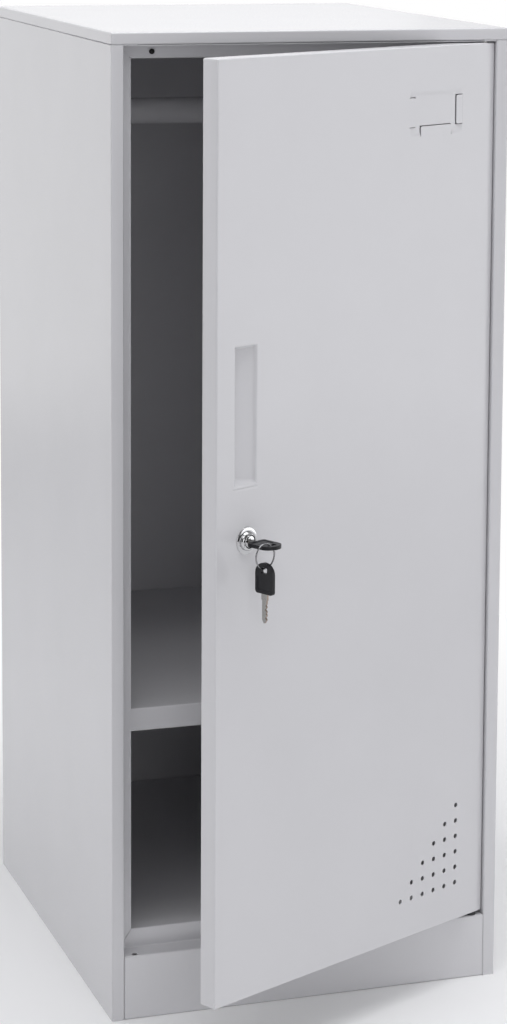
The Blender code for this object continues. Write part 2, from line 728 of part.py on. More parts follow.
def door_panel(hinge):
    door = from_bmesh("door_panel", door_mesh(), PAINT, hinge)
    add_wall(door, SHEET)
    door.modifiers.new("Facets", "TRIANGULATE")
    card_tongues(door, hinge)
    add_boolean(door, vent_cutter(hinge))
    face = -HINGE_SETBACK
    lock = [((LOCK_X, face - SHEET, LOCK_HEIGHT), (LOCK_X, face + 2 * SHEET, LOCK_HEIGHT))]
    add_boolean(door, peg_cutter("lock_hole", BARREL_RADIUS + GAP, lock, hinge))
    pins = [
        ((0, 0, DOOR_BOTTOM - SHEET), (0, 0, DOOR_BOTTOM + 2 * SHEET)),
        ((0, 0, DOOR_TOP - 2 * SHEET), (0, 0, DOOR_TOP + SHEET)),
    ]
    add_boolean(door, peg_cutter("door_pin_holes", PIN_RADIUS + GAP, pins, hinge))


def door_stiffener(hinge):
    """A hat section up the middle of the door, against the back of its face."""
    middle = HINGE_INSET - DOOR_WIDTH / 2
    seat = -HINGE_SETBACK + SHEET + GAP
    crown = seat + STIFFENER_HEIGHT
    half = STIFFENER_WIDTH / 2
    profile = [
        (middle - half - STIFFENER_FLANGE, seat),
        (middle - half, seat),
        (middle - half, crown),
        (middle + half, crown),
        (middle + half, seat),
        (middle + half + STIFFENER_FLANGE, seat),
    ]
    span = (DOOR_BOTTOM + SHEET + STIFFENER_END, DOOR_TOP - SHEET - STIFFENER_END)
    fold_sheet("door_stiffener", profile, span, plan, PAINT, hinge)


def pivot(hinge, which, sheet_face, outward):
    """Bracket in the door's corner and the headed pin in it; outward is 1 at the top, -1 at the bottom."""
    seat = sheet_face - outward * (SHEET + GAP)
    side = HINGE_INSET - SHEET - GAP
    profile = [(side - BRACKET_LEG, seat), (side, seat), (side, seat - outward * BRACKET_LEG)]
    if outward > 0:
        profile.reverse()
    front = -HINGE_SETBACK + SHEET + GAP
    span = (front, front + BRACKET_WIDTH)
    bracket = fold_sheet(
        f"hinge_bracket_{which}",
        profile,
        span,
        elevation,
        STEEL,
        hinge,
        wall=BRACKET_WALL,
        bend=BRACKET_BEND,
    )
    inner = seat - outward * BRACKET_WALL
    hole = [((0, 0, seat + outward * SHEET), (0, 0, inner - outward * SHEET))]
    add_boolean(bracket, peg_cutter(f"bracket_hole_{which}", PIN_RADIUS + GAP, hole, hinge))
    frame_face = SOFFIT if outward > 0 else KICK_HEIGHT
    beyond = abs(frame_face - inner) + SHEET + PIN_REACH
    if outward > 0:
        beyond += GAP + SHEET
    profile = [
        (0, beyond),
        (PIN_RADIUS - PIN_CHAMFER, beyond),
        (PIN_RADIUS, beyond - PIN_CHAMFER),
        (PIN_RADIUS, -GAP),
        (PIN_HEAD_RADIUS, -GAP),
        (PIN_HEAD_RADIUS, -GAP - PIN_HEAD),
        (0, -GAP - PIN_HEAD),
    ]
    turn = (0, 0, 0) if outward > 0 else (math.pi, 0, 0)
    turned(f"hinge_pin_{which}", profile, STEEL, hinge, (0, 0, inner), turn)


def hinge_washer():
    low = KICK_HEIGHT + GAP
    high = DOOR_BOTTOM - GAP
    bore = PIN_RADIUS + GAP
    profile = [(WASHER_RADIUS, high), (WASHER_RADIUS, low), (bore, low), (bore, high)]
    turned("hinge_washer", profile, NYLON, location=(PIVOT_X, PIVOT_Y, 0), ring=True)


def lock_body(seat):
    """Rose with its dome, and the threaded barrel behind it."""
    bore = PLUG_RADIUS + GAP
    dome = arc((bore, ROSE_EDGE), (DOME_RADIUS - bore, DOME_HEIGHT - ROSE_EDGE), 90, 0, DOME_STEPS)
    profile = dome + [
        (ROSE_RADIUS - ROSE_EDGE / 2, ROSE_EDGE),
        (ROSE_RADIUS, ROSE_EDGE / 2),
        (ROSE_RADIUS, GAP),
        (BARREL_RADIUS, GAP),
        (BARREL_RADIUS, GAP - CAM_FRONT),
        (bore, GAP - CAM_FRONT),
    ]
    turned("lock_body", profile, CHROME, seat, ring=True)


def lock_nut(seat):
    face = -SHEET - GAP
    corner = NUT_ACROSS / 2 / math.cos(math.pi / 6)
    hexagon = arc((0, 0), (corner, corner), 0, 360, 6)[:-1]
    nut = flat_solid("lock_nut", [hexagon], face - NUT_THICK, face, plan, STEEL, seat)
    bore = [((0, 0, face + SHEET), (0, 0, face - NUT_THICK - SHEET))]
    add_boolean(nut, peg_cutter("nut_bore", BARREL_RADIUS + GAP, bore, seat))


def lock_plug(turn):
    """Plug with its keyway, and the square at its rear that drives the cam."""
    rear = -CAM_FRONT + GAP
    profile = [
        (0, PLUG_FACE),
        (PLUG_RADIUS - PLUG_CHAMFER, PLUG_FACE),
        (PLUG_RADIUS, PLUG_FACE - PLUG_CHAMFER),
        (PLUG_RADIUS, rear),
        (0, rear),
    ]
    plug = turned("lock_plug", profile, CHROME, turn)
    half = DRIVE_SQUARE / 2
    drive_end = -CAM_FRONT - CAM_THICK
    square = box_cutter("plug_square", (-half, -half, drive_end), (half, half, rear + CAM_THICK), turn)
    add_boolean(plug, square, "UNION")
    slot = (BLADE_WIDTH / 2 + BLADE_PLAY, BLADE_THICK / 2 + BLADE_PLAY)
    bottom = SHOULDER_FACE - BLADE_LENGTH - 2 * BLADE_PLAY
    keyway = box_cutter("keyway", (-slot[0], -slot[1], bottom), (slot[0], slot[1], PLUG_FACE + SHEET), turn)
    add_boolean(plug, keyway)
    bore = [((0, 0, drive_end - SHEET), (0, 0, drive_end + CAM_SCREW_LENGTH))]
    add_boolean(plug, peg_cutter("cam_screw_hole", CAM_SCREW_RADIUS + GAP, bore, turn))


def lock_cam(turn):
    """A flat latch, upright when the door is unlocked."""
    hub = arc((0, 0), (CAM_HUB, CAM_HUB), 180, 360, 12)
    tip_corner = CAM_HUB - CAM_TIP / 2
    tip = arc((0, CAM_REACH - CAM_TIP), (tip_corner, CAM_TIP), 0, 180, 10)
    half = DRIVE_SQUARE / 2 + GAP
    square = [(-half, -half), (-half, half), (half, half), (half, -half)]
    flat_solid("lock_cam", [hub + tip, square], -CAM_FRONT - CAM_THICK, -CAM_FRONT, plan, STEEL, turn)


def cam_screw(turn):
    seat = -CAM_FRONT - CAM_THICK - GAP
    shank = seat + CAM_SCREW_LENGTH - 2 * GAP
    head = seat - CAM_SCREW_HEAD_HEIGHT
    profile = [
        (0, shank),
        (CAM_SCREW_RADIUS, shank),
        (CAM_SCREW_RADIUS, seat),
        (CAM_SCREW_HEAD, seat),
        (CAM_SCREW_HEAD, seat - CAM_SCREW_HEAD_HEIGHT / 2),
        (CAM_SCREW_CROWN, head),
        (0, head),
    ]
    screw = turned("cam_screw", profile, STEEL, turn)
    half = CAM_SCREW_SLOT / 2
    slot_low = (-CAM_SCREW_HEAD, -half, head - SHEET)
    slot = box_cutter("cam_screw_slot", slot_low, (CAM_SCREW_HEAD, half, head + CAM_SCREW_SLOT), turn)
    add_boolean(screw, slot)


def blade_outline():
    """Tang, shoulders, and a blade with notches cut along one edge, from the bow to the tip."""
    half = BLADE_WIDTH / 2
    point = BLADE_POINT / 2
    tip = SHOULDER_FACE - BLADE_LENGTH
    notched = []
    for index, depth in enumerate(NOTCH_DEPTHS):
        middle = tip + BLADE_TIP + NOTCH_PITCH * (index + 0.5)
        notched += [(half, middle - depth), (half - depth, middle), (half, middle + depth)]
    shoulder = SHOULDER_WIDTH / 2
    bow_side = BOW_BASE - GAP
    tang = BOW_BASE + TANG_LENGTH
    right = [(point, tip), (half, tip + BLADE_TIP)] + notched
    right += [(half, SHOULDER_FACE), (shoulder, SHOULDER_FACE), (shoulder, bow_side)]
    right += [(half, bow_side), (half, tang)]
    left = [(-half, tang), (-half, bow_side), (-shoulder, bow_side), (-shoulder, SHOULDER_FACE)]
    left += [(-half, SHOULDER_FACE), (-half, tip + BLADE_TIP), (-point, tip)]
    return right + left


def bow_outline(inset=0.0):
    """Square at the blade, arched at the far end."""
    half = BOW_WIDTH / 2 - inset
    corner = BOW_CORNER
    base = BOW_BASE + inset
    points = arc((-half + corner, base + corner), (corner, corner), 180, 270, 3)
    points += arc((half - corner, base + corner), (corner, corner), 270, 360, 3)
    points += arc((0, BOW_END - BOW_ARCH), (half, BOW_ARCH - inset), 0, 180, 14)
    return points


def key(prefix, parent):
    """A key: steel blade, and a plastic bow moulded over its tang."""
    half = BLADE_THICK / 2
    flat_solid(prefix + "key_blade", [blade_outline()], -half, half, elevation, STEEL, parent)
    bow_half = BOW_THICK / 2
    hole = rounded_rectangle((0, BOW_HOLE), BOW_HOLE_WIDTH, BOW_HOLE_HEIGHT, BOW_HOLE_CORNER)
    loops = [bow_outline(), hole]
    bow = flat_solid(prefix + "key_bow", loops, -bow_half, bow_half, elevation, BLACK_PLASTIC, parent)
    add_bevel(bow, BOW_ROUND, BOW_EDGE_ANGLE)
    pocket = (BLADE_WIDTH / 2 + GAP, half + GAP)
    tang = box_cutter(
        prefix + "tang_pocket",
        (-pocket[0], -pocket[1], BOW_BASE - GAP),
        (pocket[0], pocket[1], BOW_BASE + TANG_LENGTH + GAP),
        parent,
    )
    add_boolean(bow, tang)
    panel_half = BOW_WIDTH / 2 - BOW_PANEL_INSET
    for face, side in (("upper", 1), ("lower", -1)):
        depths = sorted((side * (bow_half - BOW_PANEL_DEPTH), side * (bow_half + SHEET)))
        start = BOW_BASE + BOW_PANEL_INSET
        panel = box_cutter(
            f"{prefix}{face}_panel",
            (-panel_half, depths[0], start),
            (panel_half, depths[1], start + BOW_PANEL_LENGTH),
            parent,
        )
        add_boolean(bow, panel)


def ring_places():
    """Ring centre at rest, swing axis and hanging depth, about the lock's axis.

    The ring hangs on the strip of the bow beside its hole. As the bow turns down through a right angle
    the ring stays upright, so the swing axis is where both hanging places turn into each other.
    """
    hole = BOW_HOLE_WIDTH / 2
    edge = BOW_WIDTH / 2
    slack = RING_RADIUS - RING_WIRE - RING_SLACK
    rest_x = -(hole + edge) / 2
    rest_y = BOW_THICK / 2 - math.sqrt(slack**2 - ((edge - hole) / 2) ** 2)
    turned_x = -hole - math.sqrt(slack**2 - (BOW_THICK / 2) ** 2)
    axis_y = (rest_y - turned_x - (-rest_x)) / 2
    axis_x = turned_x - rest_y + axis_y
    return (rest_x, rest_y), (axis_x, axis_y)


def key_ring(swing, centre):
    bpy.ops.mesh.primitive_torus_add(
        major_radius=RING_RADIUS,
        minor_radius=RING_WIRE,
        major_segments=RING_STEPS,
        minor_segments=RING_SIDES,
    )
    ring = bpy.context.active_object
    for collection in ring.users_collection:
        collection.objects.unlink(ring)
    PARTS.objects.link(ring)
    ring.name = "key_ring"
    ring.data.name = "key_ring"
    ring.data.materials.append(principled("key_ring", CHROME))
    ring.parent = swing
    ring.location = centre
    ring.data.shade_smooth()


def lock_and_keys(hinge):
    quarter = math.pi / 2
    seat = add_empty("lock_seat", (LOCK_X, -HINGE_SETBACK, LOCK_HEIGHT), hinge, (quarter, 0, 0))
    lock_body(seat)
    lock_nut(seat)
    turn = add_empty("lock_axis", (0, 0, 0), seat)
    lock_plug(turn)
    lock_cam(turn)
    cam_screw(turn)
    key("", turn)
    (ring_x, ring_y), (axis_x, axis_y) = ring_places()
    swing = add_empty("ring_axis", (axis_x, axis_y, RING_PLANE), turn)
    key_ring(swing, (ring_x - axis_x, ring_y - axis_y, 0))
    hang = (ring_x - axis_x, ring_y - axis_y - RING_RADIUS, 0)
    spare = add_empty("spare_key_axis", hang, swing)
    wire_in_hole = BOW_HOLE + BOW_HOLE_HEIGHT / 2 - RING_WIRE - GAP
    key("spare_", add_empty("spare_key_frame", (0, -wire_in_hole, 0), spare, KEY_HANGS))


def build():
    side_panel("side_panel_left", -1)
    side_panel("side_panel_right", 1)
    back_panel()
    top_panel_and_rail()
    base_rail()
    floor_panel()
    shelf_and_runners()
    hanging_rail()
    hinge_washer()
    hinge = add_empty("door_axis", (PIVOT_X, PIVOT_Y, 0), rotation=(0, 0, AJAR))
    door_panel(hinge)
    door_stiffener(hinge)
    pivot(hinge, "upper", DOOR_TOP, 1)
    pivot(hinge, "lower", DOOR_BOTTOM, -1)
    lock_and_keys(hinge)


clear_scene()
PARTS = new_collection("metal_locker", True)
CUTTERS = new_collection("cutters", False)
build()
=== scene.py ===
"""Looks of the single-door steel locker: finishes, filled seams, thread of the lock, studio and camera."""

import json
import math

import bpy
from mathutils import Matrix, Vector


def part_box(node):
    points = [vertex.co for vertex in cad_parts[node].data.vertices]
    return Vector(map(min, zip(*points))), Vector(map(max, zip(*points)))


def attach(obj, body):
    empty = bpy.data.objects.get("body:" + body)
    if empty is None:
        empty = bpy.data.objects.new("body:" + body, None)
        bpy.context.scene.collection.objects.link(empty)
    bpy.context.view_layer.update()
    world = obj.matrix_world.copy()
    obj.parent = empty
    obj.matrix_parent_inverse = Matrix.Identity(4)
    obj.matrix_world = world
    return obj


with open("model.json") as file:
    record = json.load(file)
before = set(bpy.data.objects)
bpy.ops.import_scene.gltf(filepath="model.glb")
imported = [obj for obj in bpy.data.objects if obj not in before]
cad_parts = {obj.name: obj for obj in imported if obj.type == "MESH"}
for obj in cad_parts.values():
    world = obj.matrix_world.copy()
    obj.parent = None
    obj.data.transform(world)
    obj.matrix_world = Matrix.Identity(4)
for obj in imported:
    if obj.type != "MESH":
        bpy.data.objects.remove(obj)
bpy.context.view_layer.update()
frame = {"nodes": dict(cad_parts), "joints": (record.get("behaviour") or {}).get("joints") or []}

MM = 0.001
UP = Vector((0, 0, 1))

# Photograph's frame and camera, fitted to corners of the cabinet and points of the door
IMAGE = (507, 1024)  # pixels
SENSOR = 36.0  # millimetres along the image's longer side
FOCAL = 2945  # pixels
PRINCIPAL = (345, 246)  # pixels, where the optical axis meets the image
EYE = (-0.846, -2.486, 1.058)  # metres, from the middle of the cabinet's front on the floor
HEADING = math.radians(19.42)  # to the right of straight on
DIP = math.radians(7.63)
ROLL = math.radians(-0.54)

# Noise in the finishes
NOISE_SPAN = (0.3, 0.7)  # its middle range, over which a value or a colour changes
COARSE = 1  # octaves of detail
MEDIUM = 2
FINE = 3
EVEN = (1, 1, 1)  # not drawn out along any axis
DRAWN_UP = (1, 1, 12)

# Powder coat
PAINT = (0.604, 0.60, 0.618)
PAINT_CLOUD = 90 * MM
PAINT_SHADES = (0.988, 1.01)  # darkest and lightest, as shares of the colour
PAINT_ROUGHNESS = (0.18, 0.26)
PEEL = 1.4 * MM
PEEL_DEPTH = 0.012 * MM
SHEET_WAVE = 140 * MM
SHEET_WAVE_DEPTH = 0.18 * MM

# Plated metals
STEEL = (0.46, 0.45, 0.43)
CHROME = (0.56, 0.56, 0.57)
RING_WIRE = (0.28, 0.28, 0.29)
METAL_MARKS = 0.35 * MM
METAL_CLOUD = 4 * MM
METAL_DARK = 0.93  # darkest, as a share of the colour
METALS = {  # colour, roughness, stretch of the marks, their depth
    "zinc_plate": (STEEL, (0.24, 0.36), DRAWN_UP, 0.002 * MM),
    "chrome_plate": (CHROME, (0.07, 0.12), EVEN, 0.0002 * MM),
    "ring_wire": (RING_WIRE, (0.12, 0.20), EVEN, 0.0004 * MM),
}

# Key blades
BLADE_PLATE = (0.36, 0.355, 0.345)
BLADE_BRASS = (0.34, 0.275, 0.235)
BLADE_ROUGHNESS = (0.22, 0.38)
BLADE_MARKS = 0.3 * MM
BLADE_MARK_DEPTH = 0.003 * MM

# Moulded plastics and rubber
BLACK_PLASTIC = (0.007, 0.007, 0.009)
RUBBER = (0.012, 0.012, 0.012)
NYLON = (0.030, 0.030, 0.032)
MOULDED_SHINE = 0.3
MOULDED_CLOUD = 6 * MM
MOULDED_LIGHT = 1.5  # lightest, as a share of the colour
MOULDINGS = {  # colour, roughness, grain, its depth
    "moulded_plastic": (BLACK_PLASTIC, (0.28, 0.38), 0.25 * MM, 0.006 * MM),
    "black_rubber": (RUBBER, (0.65, 0.80), 0.4 * MM, 0.02 * MM),
    "black_nylon": (NYLON, (0.45, 0.60), 0.3 * MM, 0.008 * MM),
}

# Shading of the solids
FOLD_ANGLE = math.radians(50)  # flatter edges than this are shaded round
WELD = 0.005 * MM

# Paint that fills the seams between welded pieces
BEAD_RADIUS = 0.35 * MM
LID_BEAD_DEPTH = 0.6 * MM  # its middle under the faces
KICK_BEAD_DEPTH = 0.45 * MM
KICK_BEAD_ASIDE = 0.25 * MM  # from the kick plate's end
KICK_TOP = 60 * MM

# Thread on the lock's barrel
THREAD_PITCH = 1.25 * MM
THREAD_RIDGE = 0.4 * MM
THREAD_STEPS = 24  # points in a turn

# Studio: a white sweep behind the object, and a darker room at its right and in front
FLOOR_SIZE = 14.0
FLOOR_COLOUR = (0.92, 0.92, 0.92)
SEEN_FADE = (0.35, 1.3)  # metres from the object, where the floor turns to white for the eye
SHINE_FADE = (2.2, 3.4)  # and in reflections
SHINE_BACK = (-0.2, 0.6)  # metres back, where the floor starts to do so
AMBIENT = (0.26, 0.26, 0.27)
LAMP_TINT = (0.98, 0.985, 1.0)
LAMPS = {  # place, size in metres, watts
    "top_softbox": ((0.1, -0.3, 3.2), 2.0, 61),
    "key_softbox": ((2.3, -1.9, 2.6), 1.6, 11),
    "right_softbox": ((2.8, -0.9, 0.4), 1.6, 14),
    "left_softbox": ((-1.8, -1.6, 2.6), 1.4, 10),
    "side_softbox": ((-2.8, 2.0, 1.3), 1.4, 29),
    "front_softbox": ((-0.4, -5.0, 1.0), 2.2, 36),
    "upper_softbox": ((-0.9, -2.4, 2.8), 1.2, 6),
}
LAMP_TARGET = (0, 0, 0.5)
SWEEP_EDGE = 0.38  # its right edge, as a step to the right for each step back
SWEEP_FRONT = 0.2  # how far it comes round to the front, as the part of a direction that points back
ROOM_TURN = (-0.4, 0.9)  # the room goes from dark to pale over this part of a direction
ROOM_FRONT = 0.16
ROOM_BACK = 0.80


def start_material(name):
    made = bpy.data.materials.new(name)
    made.use_nodes = True
    return made, made.node_tree, made.node_tree.nodes["Principled BSDF"]


def noise(tree, grain, detail, stretch=EVEN):
    """Noise with spots about one grain across, drawn out along the axes by stretch."""
    place = tree.nodes.new("ShaderNodeTexCoord")
    mapping = tree.nodes.new("ShaderNodeMapping")
    mapping.inputs["Scale"].default_value = [1 / along for along in stretch]
    made = tree.nodes.new("ShaderNodeTexNoise")
    made.inputs["Scale"].default_value = 1 / grain
    made.inputs["Detail"].default_value = detail
    tree.links.new(place.outputs["Object"], mapping.inputs["Vector"])
    tree.links.new(mapping.outputs["Vector"], made.inputs["Vector"])
    return made.outputs["Fac"]


def spread(tree, factor, reach, socket):
    """Runs a socket between two values as the factor goes over the noise's middle range."""
    made = tree.nodes.new("ShaderNodeMapRange")
    made.inputs["From Min"].default_value, made.inputs["From Max"].default_value = NOISE_SPAN
    made.inputs["To Min"].default_value, made.inputs["To Max"].default_value = reach
    tree.links.new(factor, made.inputs["Value"])
    tree.links.new(made.outputs["Result"], socket)


def tint(tree, factor, dark, light, socket):
    """Runs a socket between two colours as the factor goes over the noise's middle range."""
    made = tree.nodes.new("ShaderNodeValToRGB")
    for stop, position, colour in zip(made.color_ramp.elements, NOISE_SPAN, (dark, light)):
        stop.position = position
        stop.color = (*colour, 1)
    tree.links.new(factor, made.inputs["Fac"])
    tree.links.new(made.outputs["Color"], socket)


def relief(tree, shader, layers):
    """Bumps on top of each other; a layer is a noise and its height in metres."""
    below = None
    for height, depth in layers:
        made = tree.nodes.new("ShaderNodeBump")
        made.inputs["Distance"].default_value = depth
        tree.links.new(height, made.inputs["Height"])
        if below is not None:
            tree.links.new(below, made.inputs["Normal"])
        below = made.outputs["Normal"]
    tree.links.new(below, shader.inputs["Normal"])


def shade(colour, share):
    return tuple(channel * share for channel in colour)


def paint_material():
    """Satin powder coat: fine orange peel on a sheet that isn't quite flat."""
    made, tree, shader = start_material("powder_coat")
    cloud = noise(tree, PAINT_CLOUD, FINE)
    peel = noise(tree, PEEL, MEDIUM)
    wave = noise(tree, SHEET_WAVE, COARSE)
    dark, light = (shade(PAINT, share) for share in PAINT_SHADES)
    tint(tree, cloud, dark, light, shader.inputs["Base Color"])
    spread(tree, peel, PAINT_ROUGHNESS, shader.inputs["Roughness"])
    relief(tree, shader, [(wave, SHEET_WAVE_DEPTH), (peel, PEEL_DEPTH)])
    return made


def metal_material(name):
    """Plated metal with fine marks, which may be drawn out along one axis."""
    colour, roughness, stretch, depth = METALS[name]
    made, tree, shader = start_material(name)
    marks = noise(tree, METAL_MARKS, FINE, stretch)
    cloud = noise(tree, METAL_CLOUD, FINE)
    tint(tree, cloud, shade(colour, METAL_DARK), colour, shader.inputs["Base Color"])
    spread(tree, marks, roughness, shader.inputs["Roughness"])
    relief(tree, shader, [(marks, depth)])
    shader.inputs["Metallic"].default_value = 1
    return made


def blade_material(node):
    """Plated key blade, with the brass bare on its cut edges."""
    made, tree, shader = start_material(f"{node}_plate")
    flat = max(frame["nodes"][node].data.polygons, key=lambda face: face.area).normal
    place = tree.nodes.new("ShaderNodeTexCoord")
    facing = tree.nodes.new("ShaderNodeVectorMath")
    facing.operation = "DOT_PRODUCT"
    facing.inputs[1].default_value = flat
    tree.links.new(place.outputs["Normal"], facing.inputs[0])
    plated = math_node(tree, "ABSOLUTE", facing.outputs["Value"])
    marks = noise(tree, BLADE_MARKS, FINE)
    tint(tree, plated, BLADE_BRASS, BLADE_PLATE, shader.inputs["Base Color"])
    spread(tree, marks, BLADE_ROUGHNESS, shader.inputs["Roughness"])
    relief(tree, shader, [(marks, BLADE_MARK_DEPTH)])
    shader.inputs["Metallic"].default_value = 1
    return made


def moulded_material(name):
    """Moulded plastic or rubber with a fine grain and a weak shine."""
    colour, roughness, grain, depth = MOULDINGS[name]
    made, tree, shader = start_material(name)
    shader.inputs["Specular IOR Level"].default_value = MOULDED_SHINE
    pores = noise(tree, grain, MEDIUM)
    cloud = noise(tree, MOULDED_CLOUD, FINE)
    tint(tree, cloud, colour, shade(colour, MOULDED_LIGHT), shader.inputs["Base Color"])
    spread(tree, pores, roughness, shader.inputs["Roughness"])
    relief(tree, shader, [(pores, depth)])
    return made


def slot_finishes():
    """The finish of each of the record's material slots."""
    return {
        "paint": paint_material(),
        "steel": metal_material("zinc_plate"),
        "chrome": metal_material("chrome_plate"),
        "black_plastic": moulded_material("moulded_plastic"),
        "rubber": moulded_material("black_rubber"),
        "nylon": moulded_material("black_nylon"),
    }


def own_finishes():
    """Finishes of the nodes that look unlike the rest of their slot."""
    own = {node: blade_material(node) for node in ("key_blade", "spare_key_blade")}
    own["key_ring"] = metal_material("ring_wire")
    return own


def round_folds():
    """Node group that shades folds and turned faces round, and leaves cut edges sharp."""
    group = bpy.data.node_groups.new("round_folds", "GeometryNodeTree")
    group.interface.new_socket("Geometry", in_out="INPUT", socket_type="NodeSocketGeometry")
    group.interface.new_socket("Geometry", in_out="OUTPUT", socket_type="NodeSocketGeometry")
    start = group.nodes.new("NodeGroupInput")
    plain = group.nodes.new("GeometryNodeRemoveAttribute")
    plain.inputs["Name"].default_value = "custom_normal"
    weld = group.nodes.new("GeometryNodeMergeByDistance")
    weld.inputs["Distance"].default_value = WELD
    faces = group.nodes.new("GeometryNodeSetShadeSmooth")
    faces.domain = "FACE"
    edges = group.nodes.new("GeometryNodeSetShadeSmooth")
    edges.domain = "EDGE"
    angle = group.nodes.new("GeometryNodeInputMeshEdgeAngle")
    flat = group.nodes.new("FunctionNodeCompare")
    flat.operation = "LESS_THAN"
    flat.inputs[1].default_value = FOLD_ANGLE
    end = group.nodes.new("NodeGroupOutput")
    group.links.new(angle.outputs["Unsigned Angle"], flat.inputs[0])
    group.links.new(flat.outputs["Result"], edges.inputs["Shade Smooth"])
    for one, other in zip((start, plain, weld, faces, edges), (plain, weld, faces, edges, end)):
        group.links.new(one.outputs["Geometry"], other.inputs["Geometry"])
    return group


def dress_nodes(finishes, own):
    """Gives every CAD node its own finish, or else its slot's, and its rounded shading."""
    folds = round_folds()
    for name, obj in frame["nodes"].items():
        slot = obj.material_slots[0]
        slot.material = own.get(name) or finishes[slot.material.name]
        obj.modifiers.new("Round folds", "NODES").node_group = folds
        normals = obj.modifiers.new("Even faces", "WEIGHTED_NORMAL")
        normals.keep_sharp = True


def tube(name, points, radius, finish):
    """A thin bar along a line of points."""
    curve = bpy.data.curves.new(name, "CURVE")
    curve.dimensions = "3D"
    curve.bevel_depth = radius
    curve.bevel_resolution = 0
    curve.use_fill_caps = True
    spline = curve.splines.new("POLY")
    spline.points.add(len(points) - 1)
    for made, point in zip(spline.points, points):
        made.co = (*point, 1)
    curve.materials.append(finish)
    obj = bpy.data.objects.new(name, curve)
    bpy.context.scene.collection.objects.link(obj)
    return obj


def paint_seams(finish):
    """Paint that fills the seams under the lid and beside the kick plate."""
    low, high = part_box("side_panel_right")
    lid_gap = (high.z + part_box("top_panel")[0].z) / 2
    outer = high.x - LID_BEAD_DEPTH
    front = low.y + LID_BEAD_DEPTH
    rear = high.y - LID_BEAD_DEPTH
    under_lid = [(x, y, lid_gap) for x, y in ((low.x, front), (outer, front), (outer, rear))]
    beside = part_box("base_rail")[1].x + KICK_BEAD_ASIDE
    kick_front = low.y + KICK_BEAD_DEPTH
    kick = [(beside, kick_front, height) for height in (BEAD_RADIUS, KICK_TOP - BEAD_RADIUS)]
    for name, points in (("lid_seam", under_lid), ("kick_seam", kick)):
        for side, mirror in (("left", -1), ("right", 1)):
            line = [(mirror * x, y, z) for x, y, z in points]
            bead = tube(f"{name}_{side}", line, BEAD_RADIUS, finish)
            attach(bead, "cabinet")


def along_axis(node, origin, axis):
    """Nearest and farthest reach of a node along an axis."""
    reach = [(vert.co - origin).dot(axis) for vert in frame["nodes"][node].data.vertices]
    return min(reach), max(reach)


def barrel_radius(origin, axis, end):
    """Radius of the lock's body behind a place on its axis."""
    places = [vert.co - origin for vert in frame["nodes"]["lock_body"].data.vertices]
    return max((place - axis * place.dot(axis)).length for place in places if place.dot(axis) < end)


def barrel_thread(finish):
    """The ridge that winds along the lock's barrel between its nut and its cam."""
    joint = next(one for one in frame["joints"] if one["name"] == "lock_turn")
    origin = Vector(joint["pos_m"])
    axis = Vector(joint["axis"]).normalized()
    across = axis.cross(UP)
    start = along_axis("lock_cam", origin, axis)[1] + THREAD_PITCH
    end = along_axis("lock_nut", origin, axis)[0] - THREAD_RIDGE
    radius = barrel_radius(origin, axis, start)
    count = int((end - start) / THREAD_PITCH * THREAD_STEPS) + 1
    points = []
    for index in range(count):
        turn = 2 * math.pi * index / THREAD_STEPS
        rise = start + THREAD_PITCH * index / THREAD_STEPS
        out = across * math.cos(turn) + UP * math.sin(turn)
        points.append(origin + axis * rise + out * radius)
    thread = tube("barrel_thread", points, THREAD_RIDGE, finish)
    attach(thread, "door")


def math_node(tree, operation, *values):
    """A Math node whose inputs are sockets or plain numbers."""
    made = tree.nodes.new("ShaderNodeMath")
    made.operation = operation
    for value, socket in zip(values, made.inputs):
        if isinstance(value, bpy.types.NodeSocket):
            tree.links.new(value, socket)
        else:
            socket.default_value = value
    return made.outputs["Value"]


def smooth(tree, value, over, reach=(0, 1)):
    """Goes smoothly from one value to another while the input goes over a span."""
    made = tree.nodes.new("ShaderNodeMapRange")
    made.interpolation_type = "SMOOTHSTEP"
    made.inputs["From Min"].default_value, made.inputs["From Max"].default_value = over
    made.inputs["To Min"].default_value, made.inputs["To Max"].default_value = reach
    tree.links.new(value, made.inputs["Value"])
    return made.outputs["Result"]


def seen_directly(tree):
    """1 for what the camera, a reflection or a refraction sees, 0 for light that falls on surfaces."""
    path = tree.nodes.new("ShaderNodeLightPath")
    found = path.outputs["Is Camera Ray"]
    for ray in ("Is Glossy Ray", "Is Transmission Ray"):
        found = math_node(tree, "MAXIMUM", found, path.outputs[ray])
    return found


def floor_whiteness(tree):
    """How white the floor is: to the eye away from the object, and in reflections far behind it."""
    place = tree.nodes.new("ShaderNodeTexCoord")
    away = tree.nodes.new("ShaderNodeVectorMath")
    away.operation = "LENGTH"
    parts = tree.nodes.new("ShaderNodeSeparateXYZ")
    tree.links.new(place.outputs["Object"], away.inputs[0])
    tree.links.new(place.outputs["Object"], parts.inputs["Vector"])
    path = tree.nodes.new("ShaderNodeLightPath")
    far = smooth(tree, away.outputs["Value"], SEEN_FADE)
    seen = math_node(tree, "MULTIPLY", far, path.outputs["Is Camera Ray"])
    farther = smooth(tree, away.outputs["Value"], SHINE_FADE)
    behind = smooth(tree, parts.outputs["Y"], SHINE_BACK)
    far_behind = math_node(tree, "MULTIPLY", farther, behind)
    shine = math_node(tree, "MULTIPLY", far_behind, seen_directly(tree))
    return math_node(tree, "MAXIMUM", seen, shine)


